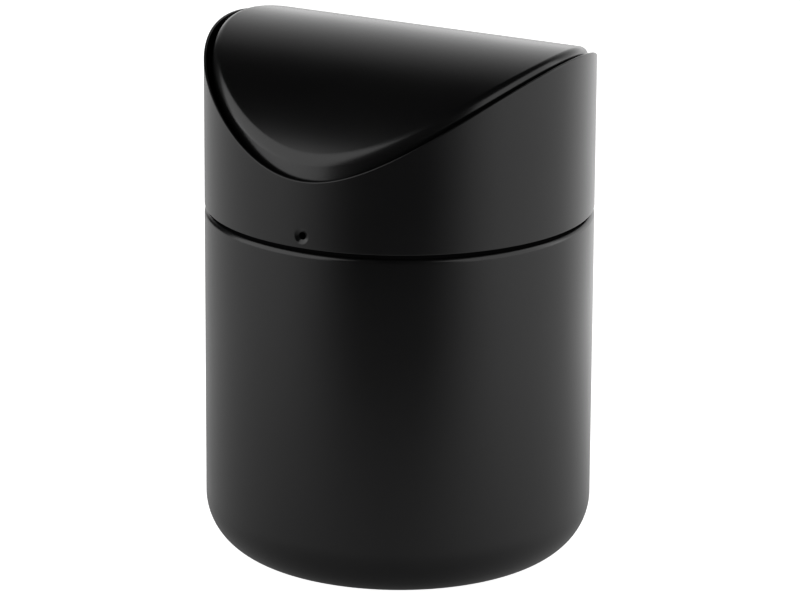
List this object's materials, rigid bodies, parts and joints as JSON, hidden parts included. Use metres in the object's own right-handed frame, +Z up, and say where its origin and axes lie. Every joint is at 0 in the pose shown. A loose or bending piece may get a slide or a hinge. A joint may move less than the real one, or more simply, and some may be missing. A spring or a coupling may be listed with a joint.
{
  "type": "countertop swing-lid bin",
  "caption": "Small round countertop bin with a lift-off saddle-cut head and an arched flap that swings inward either way and falls shut by its own weight.",
  "frame": {"origin": "centre of the foot pad's underside, on the table", "axes": "+Z up, the front with its valley faces -Y, +X to the right seen from the front; the flap swings about X"},
  "size_m": [0.12, 0.12, 0.165],
  "materials": {
    "can_paint": "satin black powder coat on thin drawn steel",
    "collar_paint": "satin black powder coat on thin rolled steel",
    "flap_paint": "satin black powder coat on pressed steel",
    "carrier_plastic": "fine spark-eroded black moulding",
    "frame_plastic": "fine spark-eroded black moulding",
    "foot_rubber": "matt black non-slip foam rubber",
    "bar_steel": "plain rolled steel",
    "pin_steel": "turned bright steel"
  },
  "bodies": {
    "can": {"body_can": "can_paint", "foot_pad": "foot_rubber"},
    "head": {"collar": "collar_paint", "carrier_frame": "carrier_plastic"},
    "flap": {"flap_shell": "flap_paint", "flap_frame": "frame_plastic", "balance_bar_front": "bar_steel", "balance_bar_rear": "bar_steel", "pivot_pin_left": "pin_steel", "pivot_pin_right": "pin_steel"}
  },
  "joints": [
    {"name": "head_lift", "type": "slide", "parent": "can", "child": "head", "axis": [0, 0, 1], "range_m": [0, 0.04]},
    {"name": "flap_swing", "type": "hinge", "parent": "head", "child": "flap", "pos_m": [0, 0, 0.156], "axis": [1, 0, 0], "range_deg": [-69, 69]}
  ]
}
